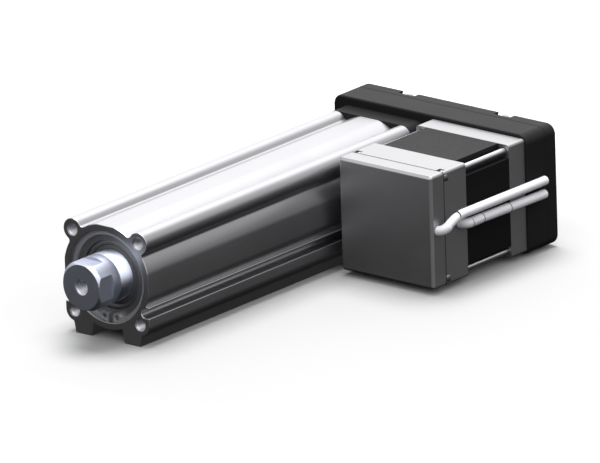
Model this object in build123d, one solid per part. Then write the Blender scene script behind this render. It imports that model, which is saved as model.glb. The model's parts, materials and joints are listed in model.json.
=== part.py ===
from build123d import *
import os
from math import ceil, degrees, pi, radians, tan

# Electric rod actuator whose motor lies beside the body and drives the ball screw through a toothed belt.
# Millimetres. X runs towards the motor, Y towards the rear and Z up. The origin is on the rod's axis, in the
# plane of the body's front face, and the rod comes out along -Y.

# Travel and stops
stroke = 100.0
front_stop_gap = 1.0
rear_stop_gap = 1.5
bumper_front_length = 3.0
bumper_rear_length = 3.5

# Clearances, measured on the radius where the faces are round
seat_gap = 0.02
running_gap = 0.05
screw_hole_gap = 0.25
clear_gap = 0.4
groove_play = 0.1
tap_play = 1.0
turned_edge = 0.5
cut_overrun = 1.0
same_place = 0.01

# Body extrusion
body_width = 51.0
tube_radius = 26.0
bore_radius = 20.5
lug_offset = 20.0
lug_radius = 5.5
valley_fillet = 1.6
ledge_level = -10.5
groove_level = -13.8
groove_height = 4.6
groove_depth = 4.7
foot_level = -31.0
foot_inner = 10.0
foot_width = 9.8
foot_draft = 1.1
key_groove_radius = 22.4
key_width = 8.0
front_hole_radius = 3.0
front_hole_depth = 10.0
rear_thread_depth = 11.0
bottom_hole_radius = 3.0
bottom_hole_depth = 8.5
bottom_hole_spacing = 30.0
bottom_hole_front = 40.0
bottom_hole_rear = 42.0

# Rod cover and what it holds
cover_radius = 22.5
cover_length = 38.0
ring_front = 2.2
ring_thickness = 1.75
ring_play = 0.05
ring_groove_radius = 23.75
ring_inner_radius = 20.3
ring_ear_offset = 3.8
ring_ear_level = -20.2
ring_ear_radius = 2.5
ring_ear_hole = 1.25
ring_slot_width = 3.0
scraper_radius = 17.0
scraper_setback = 1.0
scraper_length = 4.5
scraper_lip = 0.8
scraper_lip_relief = 1.6
bush_thickness = 2.0
bush_front = 8.0
bush_setback = 0.5
seal_section = 3.0
seal_squeeze = 0.4
seal_setback = 14.0

# Rod and its end
rod_radius = 12.5
rod_bore_radius = 7.25
rod_reach = 4.0
socket_length = 14.5
socket_flats = 22.0
socket_flat_length = 9.4
socket_chamfer = 1.5
socket_stub_length = 12.0
rod_thread_radius = 4.0
rod_thread_depth = 13.0

# Piston and nut
piston_gap = 0.3
piston_land = 3.0
wear_ring_width = 8.0
wear_ring_depth = 1.6
magnet_width = 5.0
magnet_depth = 2.4
rod_seat_length = 12.0
stopper_length = 8.0
stopper_seat_radius = 15.5
nut_radius = 12.0
nut_flange_radius = 19.0
nut_flange_length = 5.0
key_gap = 0.1
key_end_gap = 0.2

# Ball screw and its bearings
screw_radius = 6.0
screw_lead = 16.0
screw_collar_radius = 7.75
screw_collar_length = 3.5
screw_journal_radius = 5.0
tip_journal_radius = 5.0
tip_ring_length = 8.0
tip_setback = 8.0
tip_ring_play = 0.3
bumper_bore_margin = 4.0
bearing_width = 8.0
bearing_radius = 13.0
bearing_ring_wall = 2.4
bearing_shield_gap = 0.15
bearing_shield_thickness = 0.5
bearing_shield_inset = 0.3
bearing_lip_relief = 0.5
housing_front_wall = 2.0
housing_spigot_length = 12.0
housing_flange_radius = 23.5
housing_flange_length = 3.0
housing_tail_radius = 18.0
retainer_radius = 15.0
retainer_bore_radius = 9.6
retainer_length = 3.2
retainer_slot_width = 3.0
retainer_slot_depth = 1.4
retainer_slot_wall = 1.5
lock_nut_radius = 8.5
lock_nut_length = 5.0
lock_nut_slot_width = 2.5
lock_nut_slot_depth = 1.5
lock_nut_room = 1.0

# Belt drive
belt_pitch = 3.0
pulley_teeth = 24
belt_width = 10.0
belt_thickness = 1.25
pitch_line_depth = 0.38
tooth_height = 1.17
tooth_base = 2.0
tooth_tip = 1.25
tooth_gap = 0.08
tooth_corner = 0.35
tooth_root_overlap = 0.2
flange_thickness = 1.0
flange_lip = 2.2
belt_side_gap = 0.1
pulley_bore_radius = 4.0
pulley_floor_gap = 0.8
set_screw_radius = 1.5
set_screw_sunk = 0.6

# Return box and its plate
boss_length = 9.4
boss_corner = 5.0
box_depth = 15.2
box_half_height = 30.0
box_end_margin = 29.5
box_corner = 5.0
box_wall_front = 4.0
body_screw_wall = 6.6
body_screw_grip = 10.0
plate_screw_grip = 8.0
recess_play = 0.2
cavity_radius = 17.0
drive_hole_radius = 12.0
plate_thickness = 7.4
plate_recess = 3.0
plate_pocket_radius = 5.6
plate_pocket_depth = 4.0
plate_screw_inset = 3.1
edge_break = 0.6

# Motor
motor_size = 56.4
motor_gap = 4.5
motor_corner = 1.5
motor_cover_length = 9.7
motor_cap_length = 16.6
stack_length = 32.8
motor_flange_length = 11.6
stack_notch = 6.3
motor_cover_wall = 2.0
motor_cover_chamfer = 1.3
motor_bolt_offset = 25.0
motor_bolt_grip = 7.0
bolt_pocket_radius = 3.6
bolt_pocket_depth = 3.4
pilot_radius = 19.05
pilot_length = 1.6
stator_bore_radius = 15.0
pole_count = 8
pole_width = 5.2
pole_tip = 1.6
pole_tip_width = 9.4
yoke_radius = 23.0
coil_side_gap = 0.15
coil_end_gap = 0.5
coil_floor_gap = 0.4
coil_yoke_gap = 0.8
coil_thickness = 1.9
coil_head = 3.4
winding_room_radius = 24.2
winding_room_depth = 4.2
air_gap = 0.15
rotor_end_gap = 1.2
rotor_magnet_length = 4.0
shaft_radius = 4.0
shaft_room = 1.0
shaft_edge = 0.3
rotor_magnet_setback = 1.5
motor_bearing_radius = 11.0
motor_bearing_width = 7.0
encoder_room_radius = 17.0
encoder_room_depth = 4.0
encoder_disc_radius = 13.0
encoder_disc_thickness = 1.0
encoder_disc_setback = 1.4
encoder_hub_wall = 2.0
board_size = 46.0
board_thickness = 1.6
board_screw_offset = 19.0
board_screw_grip = 4.0
board_corner = 2.0

# Leads
lead_diameter = 4.5
outlet_diameter = 4.9
outlet_bend = 3.9
encoder_outlet = (140.6, 0.6)
encoder_outlet_rise = 30.0
motor_outlet = (157.1, 0.1)

# Corners of the leads' routes; the first point of each is the middle of its outlet's end face
encoder_route = [
    (90.6, 143.98, 2.55),
    (90.6, 150.04, 6.05),
    (90.65, 162.0, 5.95),
    (90.75, 181.0, 5.9),
    (90.65, 199.6, 5.7),
    (90.55, 217.8, 5.6),
]
motor_route = [
    (90.6, 161.0, 0.1),
    (90.6, 169.5, 0.1),
    (90.7, 185.0, -0.2),
    (90.7, 201.0, -0.6),
    (90.55, 217.0, -0.9),
]

# Screws: radius of the thread, radius and height of the cap head, across the flats of the hex socket
M25 = (1.25, 2.25, 2.5, 2.0)
M3 = (1.5, 2.75, 3.0, 2.5)
M5 = (2.5, 4.25, 5.0, 4.0)

# Stations along the rod's axis, from the front of the body to the rear of the plate
cover_front = ring_front + ring_thickness + ring_play
seal_front = cover_front + cover_length - seal_setback
cover_rear = cover_front + cover_length
piston_front = cover_rear + bumper_front_length + front_stop_gap + stroke
nut_front = piston_front + rod_seat_length
piston_length = 3 * piston_land + wear_ring_width + magnet_width + stopper_length
piston_rear = piston_front + piston_length
stopper_front = piston_rear - stopper_length
nut_rear = piston_rear + nut_flange_length
housing_front = nut_rear + rear_stop_gap + bumper_rear_length
body_length = housing_front + housing_spigot_length
bearing_front = housing_front + housing_front_wall
bearing_rear = bearing_front + 2 * bearing_width
box_front = body_length + boss_length
box_floor = box_front + box_wall_front
box_rear = box_front + box_depth
plate_rear = box_rear + plate_thickness

# The belt's pitch line sets the pulleys' size and, with a whole number of teeth, how far the motor stands off
pitch_radius = belt_pitch * pulley_teeth / (2 * pi)
least_centres = (body_width + motor_size) / 2 + motor_gap
belt_teeth = ceil(2 * least_centres / belt_pitch + pulley_teeth)
motor_x = (belt_teeth - pulley_teeth) * belt_pitch / 2
pulley_front = box_floor + pulley_floor_gap
pulley_rear = pulley_front + 2 * flange_thickness + belt_width + 2 * belt_side_gap
belt_front = pulley_front + flange_thickness + belt_side_gap
land_radius = pitch_radius - pitch_line_depth

body_screw_seat = box_front + body_screw_wall
plate_screw_level = box_half_height - plate_screw_inset

# Motor stations, counted forward from the box
flange_front = box_front - motor_flange_length
stack_front = flange_front - stack_length
cap_front = stack_front - motor_cap_length
motor_front = cap_front - motor_cover_length
box_left = -box_half_height
box_right = motor_x + box_end_margin


def along(sketch, front, rear):
    """Extrude a sketch drawn in X and Z from one station to another."""
    return extrude(Plane.XZ.offset(-front) * sketch, amount=rear - front, dir=(0, 1, 0))


def turned(outline):
    """Turn an outline of (radius, station) points about the rod's axis."""
    return revolve(make_face(Polyline(*outline, close=True)), Axis.Y)


def ring(inner, outer, front, rear):
    """A plain ring, or a disc where the inner radius is 0."""
    return turned([(inner, front), (outer, front), (outer, rear), (inner, rear)])


def hole(radius, front, rear, x=0.0, z=0.0):
    """A round cutter along Y."""
    return Pos(x, 0, z) * ring(0, radius, front, rear)


def upright(radius, length):
    """A cylinder that stands on the ground plane."""
    return Cylinder(radius, length, align=(Align.CENTER, Align.CENTER, Align.MIN))


def corners(offset):
    """The four corners of a square pattern about the axis."""
    return [(x, z) for x in (-offset, offset) for z in (-offset, offset)]


def joined(solids):
    """Several solids kept apart in one node."""
    return Compound(children=[s for solid in solids for s in solid.solids()])


def cap_screw(size, seat, length):
    """A cap screw on the axis, its head behind the seat and its shank running forward from it."""
    thread, head, height, flats = size
    outline = [(0, seat - length), (thread, seat - length), (thread, seat), (head, seat)]
    outline += [(head, seat + height), (0, seat + height)]
    socket = RegularPolygon(flats / 2, 6, major_radius=False)
    return turned(outline) - along(socket, seat + height / 2, seat + height)


# Body

def body_profile():
    """Outer section: a round tube with a flat on top and each side, four screw lugs and two feet."""
    half = body_width / 2
    section = Circle(tube_radius) & Pos(0, (half - tube_radius) / 2) * Rectangle(body_width, half + tube_radius)
    for x, z in corners(lug_offset):
        section += Pos(x, z) * Circle(lug_radius)
    section += Pos(0, (ledge_level - lug_offset) / 2) * Rectangle(body_width, ledge_level + lug_offset)
    outer = foot_inner + foot_width
    lug_low = -lug_offset - lug_radius
    for side in (-1, 1):
        foot = [(side * (foot_inner - foot_draft), -lug_offset), (side * (foot_inner - foot_draft), lug_low)]
        foot += [(side * foot_inner, foot_level), (side * outer, foot_level)]
        foot += [(side * (outer + foot_draft), lug_low), (side * (outer + foot_draft), -lug_offset)]
        section += make_face(Polyline(*foot, close=True))
    near = same_place
    valleys = [v for v in section.vertices() if v.Y > 0 and tube_radius - near < Vector(v.X, v.Y).length
               and abs(abs(v.X) - half) > near and abs(v.Y - half) > near]
    return fillet(valleys, valley_fillet)


def sensor_groove(side):
    """A round-bottomed switch groove in a side face, open to the outside."""
    half = body_width / 2
    radius = groove_height / 2
    round_x = half - groove_depth + radius
    mouth = Rectangle(half - round_x + cut_overrun, groove_height, align=(Align.MIN, Align.CENTER))
    groove = Pos(round_x, groove_level) * (mouth + Circle(radius))
    return groove if side > 0 else mirror(groove, about=Plane.YZ)


def body_tube():
    profile = body_profile() - Circle(bore_radius)
    profile -= Rectangle(2 * key_groove_radius, key_width)
    for side in (-1, 1):
        profile -= sensor_groove(side)
    body = along(profile, 0, body_length)
    body -= hole(cover_radius, 0, cover_rear)
    body -= hole(ring_groove_radius, ring_front, cover_front)
    for x, z in corners(lug_offset):
        body -= hole(front_hole_radius, 0, front_hole_depth, x, z)
        body -= hole(M5[0] + seat_gap, body_length - rear_thread_depth, body_length, x, z)
    for x in (-bottom_hole_spacing / 2, bottom_hole_spacing / 2):
        for y in (bottom_hole_front, body_length - bottom_hole_rear):
            body -= Pos(x, y, foot_level) * upright(bottom_hole_radius, bottom_hole_depth)
    return body


# Rod cover, with the bush, the seals and the ring that hold and guide the rod

def rod_cover():
    """Turned cover with seats for the scraper in front and the bush behind, and a groove for its seal."""
    outer = cover_radius - seat_gap
    floor = outer - seal_section + seal_squeeze
    seal_rear = seal_front + seal_section + tap_play
    scraper_seat = cover_front + scraper_setback + scraper_length
    bush_seat = cover_front + bush_front
    bush_wall = rod_radius + bush_thickness
    throat = rod_radius + clear_gap
    outline = [(scraper_radius, cover_front), (outer, cover_front), (outer, seal_front), (floor, seal_front)]
    outline += [(floor, seal_rear), (outer, seal_rear), (outer, cover_rear), (bush_wall, cover_rear)]
    outline += [(bush_wall, bush_seat), (throat, bush_seat), (throat, scraper_seat), (scraper_radius, scraper_seat)]
    return turned(outline)


def rod_bush():
    front = cover_front + bush_front
    return ring(rod_radius + running_gap, rod_radius + bush_thickness - seat_gap, front, cover_rear - bush_setback)


def rod_scraper():
    """Wiper whose lip runs on the rod in front of the bush."""
    front = cover_front + scraper_setback
    rear = front + scraper_length
    lip = rod_radius + running_gap
    outline = [(lip, front), (scraper_radius - seat_gap, front), (scraper_radius - seat_gap, rear)]
    outline += [(lip + scraper_lip_relief, rear), (lip + scraper_lip, front + scraper_lip_relief)]
    outline += [(lip, front + scraper_lip)]
    return turned(outline)


def cover_o_ring():
    """Rubber ring, its section pressed to eight flats between the groove's floor and the bore."""
    radius = (seal_section - seal_squeeze) / 2
    centre = cover_radius - seat_gap - radius
    station = seal_front + (seal_section + tap_play) / 2
    section = RegularPolygon(radius - seat_gap, 8, major_radius=False, rotation=180 / 8)
    return revolve(Pos(centre, station) * section, Axis.Y)


def cover_retaining_ring():
    """Inner snap ring with a slot at the bottom between two drilled ears."""
    outer = ring_groove_radius - groove_play
    section = Circle(outer) - Circle(ring_inner_radius)
    for side in (-1, 1):
        ear = Pos(side * ring_ear_offset, ring_ear_level) * Circle(ring_ear_radius)
        section += ear
    slot_low = -(ring_inner_radius + outer) / 2
    section -= Pos(0, slot_low) * Rectangle(ring_slot_width, outer - ring_inner_radius + 4 * ring_ear_radius)
    for side in (-1, 1):
        section -= Pos(side * ring_ear_offset, ring_ear_level) * Circle(ring_ear_hole)
    return along(section, ring_front, ring_front + ring_thickness)


def front_bumper():
    outer = bore_radius - clear_gap / 2
    return ring(rod_radius + bush_thickness, outer, cover_rear, cover_rear + bumper_front_length)


# Rod, piston and nut

def piston_rod():
    outline = [(rod_bore_radius, -rod_reach), (rod_radius, -rod_reach), (rod_radius, nut_front - turned_edge)]
    outline += [(rod_radius - turned_edge, nut_front), (rod_bore_radius, nut_front)]
    return turned(outline)


def rod_socket():
    """Rod end with four wrench flats and a threaded hole, screwed into the rod by its stub."""
    front = -rod_reach - socket_length
    outline = [(0, front), (rod_radius - socket_chamfer, front), (rod_radius, front + socket_chamfer)]
    outline += [(rod_radius, -rod_reach), (rod_bore_radius - seat_gap, -rod_reach)]
    outline += [(rod_bore_radius - seat_gap, socket_stub_length - rod_reach), (0, socket_stub_length - rod_reach)]
    square = Rectangle(3 * rod_radius, 3 * rod_radius) - Rectangle(socket_flats, socket_flats)
    socket = turned(outline) - along(square, front, front + socket_flat_length)
    return socket - hole(rod_thread_radius, front, front + rod_thread_depth)


def piston():
    outer = bore_radius - piston_gap
    wear_front = piston_front + piston_land
    wear_rear = wear_front + wear_ring_width + 2 * groove_play
    magnet_front = wear_rear + piston_land
    magnet_rear = magnet_front + magnet_width + 2 * groove_play
    outline = [(rod_radius + seat_gap, piston_front), (outer, piston_front)]
    outline += [(outer, wear_front), (outer - wear_ring_depth, wear_front)]
    outline += [(outer - wear_ring_depth, wear_rear), (outer, wear_rear)]
    outline += [(outer, magnet_front), (outer - magnet_depth, magnet_front)]
    outline += [(outer - magnet_depth, magnet_rear), (outer, magnet_rear)]
    outline += [(outer, stopper_front), (stopper_seat_radius, stopper_front)]
    outline += [(stopper_seat_radius, piston_rear), (nut_radius + seat_gap, piston_rear)]
    outline += [(nut_radius + seat_gap, nut_front), (rod_radius + seat_gap, nut_front)]
    return turned(outline)


def wear_ring():
    front = piston_front + piston_land + groove_play
    inner = bore_radius - piston_gap - wear_ring_depth + seat_gap
    return ring(inner, bore_radius - running_gap, front, front + wear_ring_width)


def magnet_ring():
    front = piston_front + 2 * piston_land + wear_ring_width + 3 * groove_play
    inner = bore_radius - piston_gap - magnet_depth + seat_gap
    return ring(inner, bore_radius - piston_gap - groove_play, front, front + magnet_width)


def rotation_stopper():
    """Collar clamped behind the piston, its two keys in the body's grooves."""
    collar = Circle(bore_radius - piston_gap)
    collar += Rectangle(2 * (key_groove_radius - key_end_gap), key_width - 2 * key_gap)
    collar -= Circle(stopper_seat_radius + seat_gap)
    return along(collar, stopper_front, piston_rear)


def ball_nut():
    front = nut_front + key_end_gap
    outline = [(screw_radius + running_gap, front), (nut_radius, front), (nut_radius, piston_rear)]
    outline += [(nut_flange_radius, piston_rear), (nut_flange_radius, nut_rear)]
    outline += [(screw_radius + running_gap, nut_rear)]
    return turned(outline)


# Ball screw, its bearings and their housing

def ball_screw():
    """Screw with a collar against the bearings and a stepped tail for the lock nut and the pulley."""
    tip = cover_rear - tip_setback
    collar = bearing_front - screw_collar_length
    nut_end = bearing_rear + lock_nut_length + lock_nut_room
    outline = [(0, tip), (tip_journal_radius - turned_edge, tip)]
    outline += [(tip_journal_radius, tip + turned_edge)]
    outline += [(tip_journal_radius, tip + tip_ring_length), (screw_radius, tip + tip_ring_length)]
    outline += [(screw_radius, collar), (screw_collar_radius, collar), (screw_collar_radius, bearing_front)]
    outline += [(screw_journal_radius, bearing_front), (screw_journal_radius, nut_end)]
    outline += [(pulley_bore_radius, nut_end), (pulley_bore_radius, pulley_rear), (0, pulley_rear)]
    return turned(outline)


def screw_tip_ring():
    """Low-friction ring that steadies the screw's free end inside the hollow rod."""
    front = cover_rear - tip_setback + tip_ring_play
    rear = front + tip_ring_length - 2 * tip_ring_play
    return ring(tip_journal_radius + seat_gap, rod_bore_radius - running_gap, front, rear)


def bearing_outer(bore, outer, front):
    """Outer ring with the two shields that close it, of a bearing whose inner ring has the given bore."""
    width = bearing_width if outer > motor_bearing_radius else motor_bearing_width
    groove = outer - bearing_ring_wall
    mouth = groove + bearing_lip_relief
    shield = bore + bearing_ring_wall + bearing_shield_gap
    inset = bearing_shield_inset
    deep = inset + bearing_shield_thickness
    rear = front + width
    outline = [(groove, front + deep), (shield, front + deep), (shield, front + inset), (mouth, front + inset)]
    outline += [(mouth, front), (outer, front), (outer, rear), (mouth, rear), (mouth, rear - inset)]
    outline += [(shield, rear - inset), (shield, rear - deep), (groove, rear - deep)]
    return turned(outline)


def screw_bearing_outer_rings():
    fronts = [bearing_front + i * bearing_width for i in range(2)]
    radius = bearing_radius - seat_gap
    return joined([bearing_outer(screw_journal_radius, radius, y) for y in fronts])


def screw_bearing_inner_rings():
    inner = screw_journal_radius + seat_gap
    outer = screw_journal_radius + bearing_ring_wall
    fronts = [bearing_front + i * bearing_width for i in range(2)]
    return joined([ring(inner, outer, y, y + bearing_width) for y in fronts])


def bearing_housing():
    """Steel cup in the body's rear end, clamped by its flange between the body and the return box."""
    flange_rear = body_length + housing_flange_length
    tail = bearing_rear + retainer_length
    outline = [(screw_collar_radius + clear_gap, housing_front), (bore_radius - seat_gap, housing_front)]
    outline += [(bore_radius - seat_gap, body_length), (housing_flange_radius, body_length)]
    outline += [(housing_flange_radius, flange_rear), (housing_tail_radius, flange_rear)]
    outline += [(housing_tail_radius, tail), (retainer_radius + seat_gap, tail)]
    outline += [(retainer_radius + seat_gap, bearing_rear), (bearing_radius, bearing_rear)]
    outline += [(bearing_radius, bearing_front), (screw_collar_radius + clear_gap, bearing_front)]
    return turned(outline)


def bearing_retainer():
    """Threaded ring that holds the outer rings, with two slots for a pin wrench."""
    rear = bearing_rear + retainer_length
    slots = Rectangle(3 * retainer_radius, retainer_slot_width) - Circle(retainer_bore_radius + retainer_slot_wall)
    return ring(retainer_bore_radius, retainer_radius, bearing_rear, rear) - along(slots, rear - retainer_slot_depth, rear)


def screw_lock_nut():
    """Slotted round nut that clamps the inner rings against the screw's collar."""
    rear = bearing_rear + lock_nut_length
    slot = Rectangle(3 * lock_nut_radius, lock_nut_slot_width)
    slots = slot + Rot(0, 0, 90) * slot - Circle(lock_nut_radius - lock_nut_slot_depth)
    return ring(screw_journal_radius + seat_gap, lock_nut_radius, bearing_rear, rear) - along(slots, bearing_rear, rear)


def rear_bumper():
    inner = screw_collar_radius + bumper_bore_margin
    return ring(inner, bore_radius - clear_gap / 2, housing_front - bumper_rear_length, housing_front)


# Belt drive

def tooth_outline(gap):
    """One belt tooth, or with a gap the room cut for it, pointing to -Y from the pitch line."""
    top = -pitch_line_depth + tooth_root_overlap
    tip = -pitch_line_depth - tooth_height - gap
    corner = tooth_corner
    base_x = tooth_base / 2 + gap
    tip_x = tooth_tip / 2 + gap
    points = [(-base_x, top), (-base_x, -pitch_line_depth), (-tip_x, tip + corner), (-tip_x + corner, tip)]
    points += [(tip_x - corner, tip), (tip_x, tip + corner), (base_x, -pitch_line_depth), (base_x, top)]
    return make_face(Polyline(*points, close=True))


def pulley(first_angle):
    """Toothed wheel with a flange on each side, its first tooth space at the given angle from the top."""
    wheel = Circle(land_radius - running_gap)
    for i in range(pulley_teeth):
        turn = Rot(0, 0, -first_angle - 360 * i / pulley_teeth)
        wheel -= turn * Pos(0, pitch_radius) * tooth_outline(tooth_gap)
    body = along(wheel, pulley_front, pulley_rear)
    lip = pitch_radius + flange_lip
    for front in (pulley_front, pulley_rear - flange_thickness):
        body += ring(0, lip, front, front + flange_thickness)
    body -= hole(pulley_bore_radius + seat_gap, pulley_front, pulley_rear)
    return body - set_screw_place(first_angle) * upright(set_screw_radius, land_radius)


def set_screw_place(first_angle):
    """The pulley's middle, with up turned to the tooth space opposite the first."""
    return Rot(0, first_angle + 180, 0) * Pos(0, (pulley_front + pulley_rear) / 2, 0)


def set_screw(first_angle):
    """Headless screw in a tooth space, down onto the shaft."""
    length = land_radius - tooth_height - pulley_bore_radius - set_screw_sunk
    screw = upright(set_screw_radius - seat_gap, length)
    return set_screw_place(first_angle) * Pos(0, 0, pulley_bore_radius + running_gap) * screw


def motor_tooth_angle():
    """Angle from the top of the first belt tooth on the motor's pulley."""
    along_arc = ceil(motor_x / belt_pitch) * belt_pitch - motor_x
    return degrees(along_arc / pitch_radius)


def belt_place(distance):
    """Where the pitch line is after a distance from the top of the screw's pulley, clockwise from the front."""
    half_turn = pi * pitch_radius
    if distance < motor_x:
        return Pos(distance, pitch_radius)
    if distance < motor_x + half_turn:
        angle = (distance - motor_x) / pitch_radius
        return Pos(motor_x, 0) * Rot(0, 0, -degrees(angle)) * Pos(0, pitch_radius)
    if distance < 2 * motor_x + half_turn:
        return Pos(2 * motor_x + half_turn - distance, -pitch_radius) * Rot(0, 0, 180)
    angle = (distance - 2 * motor_x - half_turn) / pitch_radius
    return Rot(0, 0, 180 - degrees(angle)) * Pos(0, pitch_radius)


def timing_belt():
    """Endless belt whose teeth fill the spaces of both pulleys."""
    inner = land_radius
    band = SlotCenterToCenter(motor_x, 2 * (inner + belt_thickness)) - SlotCenterToCenter(motor_x, 2 * inner)
    belt = Pos(motor_x / 2, 0) * band
    for i in range(belt_teeth):
        belt += belt_place(i * belt_pitch) * tooth_outline(0)
    return along(belt, belt_front, belt_front + belt_width)


# Return box and its plate

def box_outline(inset=0.0):
    width = box_right - box_left - 2 * inset
    outline = RectangleRounded(width, 2 * (box_half_height - inset), box_corner - inset)
    return Pos((box_left + box_right) / 2, 0) * outline


def broken_edge(solid, station):
    """Break the outer edges of the face at a station."""
    face = solid.faces().filter_by(Axis.Y).group_by(Axis.Y)[0 if station == "front" else -1]
    edges = face.sort_by(SortBy.AREA)[-1].outer_wire().edges()
    return chamfer(edges, edge_break)


def plate_screw_places():
    return [(x, z) for x in (0.0, motor_x) for z in (-plate_screw_level, plate_screw_level)]


def motor_bolt_places():
    return [(motor_x + x, z) for x, z in corners(motor_bolt_offset)]


def return_box():
    """Cast box that joins the body to the motor and houses the belt."""
    boss = RectangleRounded(body_width, body_width, boss_corner)
    casting = broken_edge(along(box_outline(), box_front, box_rear), "front")
    casting += along(boss, body_length, box_front + edge_break)
    cavity = Pos(motor_x / 2, 0) * SlotCenterToCenter(motor_x, 2 * cavity_radius)
    casting -= along(cavity, box_floor, box_rear)
    casting -= hole(housing_flange_radius + running_gap, body_length, body_length + housing_flange_length)
    casting -= hole(housing_tail_radius + running_gap, body_length, bearing_rear + retainer_length + recess_play)
    casting -= hole(drive_hole_radius, body_length, box_floor)
    casting -= hole(drive_hole_radius, box_front, box_floor, motor_x)
    casting -= hole(pilot_radius + running_gap, box_front, box_front + pilot_length + recess_play, motor_x)
    for x, z in corners(lug_offset):
        casting -= hole(M5[0] + screw_hole_gap, body_length, body_screw_seat, x, z)
        casting -= hole(M5[1] + screw_hole_gap, body_screw_seat, box_rear, x, z)
    for x, z in motor_bolt_places():
        casting -= hole(M3[0] + seat_gap, box_front, box_front + motor_bolt_grip + tap_play, x, z)
    for x, z in plate_screw_places():
        casting -= hole(M3[0] + seat_gap, box_rear - plate_screw_grip - tap_play, box_rear, x, z)
    return casting


def return_plate():
    """Cover plate with a recess for the belt and a pocket for each screw head, open at the edge."""
    plate = broken_edge(along(box_outline(), box_rear, plate_rear), "rear")
    cavity = Pos(motor_x / 2, 0) * SlotCenterToCenter(motor_x, 2 * cavity_radius)
    plate -= along(cavity, box_rear, box_rear + plate_recess)
    for x, z in plate_screw_places():
        plate -= hole(M3[0] + screw_hole_gap, box_rear, plate_rear, x, z)
        plate -= hole(plate_pocket_radius, plate_rear - plate_pocket_depth, plate_rear, x, z)
    return plate


def plate_screws():
    seat = plate_rear - plate_pocket_depth
    length = plate_thickness - plate_pocket_depth + plate_screw_grip
    return joined([Pos(x, 0, z) * cap_screw(M3, seat, length) for x, z in plate_screw_places()])


def body_screws():
    length = body_screw_seat - body_length + body_screw_grip
    return joined([Pos(x, 0, z) * cap_screw(M5, body_screw_seat, length) for x, z in corners(lug_offset)])


# Motor

def motor_square(size=motor_size, radius=motor_corner):
    return RectangleRounded(size, size, radius)


def notched_square():
    section = motor_square()
    offset = (motor_size - stack_notch) / 2
    for x, z in corners(offset):
        section -= Pos(x, z) * Rectangle(stack_notch + same_place, stack_notch + same_place)
    return section


def at_motor(solid):
    return Pos(motor_x, 0, 0) * solid


def motor_flange():
    flange = along(motor_square(), flange_front, box_front)
    flange += hole(pilot_radius, box_front, box_front + pilot_length)
    room_rear = flange_front + winding_room_depth
    flange -= hole(winding_room_radius, flange_front, room_rear)
    flange -= hole(motor_bearing_radius, room_rear, room_rear + motor_bearing_width)
    flange -= hole(shaft_radius + shaft_room, flange_front, box_front + pilot_length)
    for x, z in corners(motor_bolt_offset):
        flange -= hole(M3[0] + screw_hole_gap, flange_front, box_front, x, z)
    return at_motor(flange)


def stator_section():
    """Lamination: a notched square yoke with poles that point at the rotor."""
    section = notched_square() - Circle(yoke_radius)
    inner = stator_bore_radius - pole_tip
    for i in range(pole_count):
        turn = Rot(0, 0, 360 * i / pole_count)
        pole = Rectangle(pole_width, yoke_radius + pole_tip - inner, align=(Align.CENTER, Align.MIN))
        tip = Rectangle(pole_tip_width, 2 * pole_tip, align=(Align.CENTER, Align.MIN))
        section += turn * Pos(0, inner) * (pole + tip)
    return section - Circle(stator_bore_radius)


def motor_stator_stack():
    return at_motor(along(stator_section(), stack_front, flange_front))


def motor_windings():
    """One coil round each pole."""
    low = stator_bore_radius + pole_tip + coil_floor_gap
    high = yoke_radius - coil_yoke_gap
    room = Box(pole_width + 2 * coil_side_gap, stack_length + 2 * coil_end_gap, high)
    coil = Box(pole_width + 2 * coil_thickness, stack_length + 2 * coil_head, high - low)
    coil = chamfer(coil.edges().filter_by(Axis.Z), coil_thickness / 2) - room
    coil = Pos(0, (stack_front + flange_front) / 2, (low + high) / 2) * coil
    return joined([at_motor(Rot(0, 360 * i / pole_count, 0) * coil) for i in range(pole_count)])


def motor_end_cap():
    """Aluminium cap with the rear bearing's seat, room for the coils and four bolt pockets."""
    cap = along(motor_square(), cap_front, stack_front)
    room_front = stack_front - winding_room_depth
    cap -= hole(winding_room_radius, room_front, stack_front)
    cap -= hole(motor_bearing_radius, room_front - motor_bearing_width, room_front)
    cap -= hole(encoder_room_radius, cap_front, cap_front + encoder_room_depth)
    cap -= hole(shaft_radius + shaft_room, cap_front, stack_front)
    for x, z in corners(motor_bolt_offset):
        cap -= hole(M3[0] + screw_hole_gap, cap_front, stack_front, x, z)
        cap -= hole(bolt_pocket_radius, cap_front, cap_front + bolt_pocket_depth, x, z)
    for x, z in corners(board_screw_offset):
        cap -= hole(M25[0] + seat_gap, cap_front, cap_front + board_screw_grip + tap_play, x, z)
    return at_motor(cap)


def motor_cover():
    """Shallow shell over the encoder, its front edge chamfered all round."""
    shell = along(motor_square(), motor_front, cap_front)
    front = shell.faces().sort_by(Axis.Y)[0]
    shell = chamfer(front.outer_wire().edges(), motor_cover_chamfer)
    inside = motor_square(motor_size - 2 * motor_cover_wall, motor_corner / 2)
    shell -= along(inside, motor_front + motor_cover_wall, cap_front)
    return at_motor(shell)


def motor_bolts():
    """Long bolts from the end cap through the stack's corner notches and the flange into the return box."""
    seat = cap_front + bolt_pocket_depth
    length = box_front + motor_bolt_grip - seat
    bolt = mirror(cap_screw(M3, 0, length), about=Plane.XZ)
    return joined([Pos(x, seat, z) * bolt for x, z in motor_bolt_places()])


def motor_shaft():
    front = cap_front + shaft_room
    neck = shaft_radius - shaft_edge
    outline = [(0, front), (neck, front), (shaft_radius, front + shaft_edge)]
    outline += [(shaft_radius, pulley_rear - shaft_edge), (neck, pulley_rear), (0, pulley_rear)]
    return at_motor(turned(outline))


def rotor_span():
    middle = (stack_front + flange_front) / 2
    half = (stack_length - rotor_end_gap) / 2
    return [middle - half, middle - rotor_magnet_length / 2, middle + rotor_magnet_length / 2, middle + half]


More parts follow.
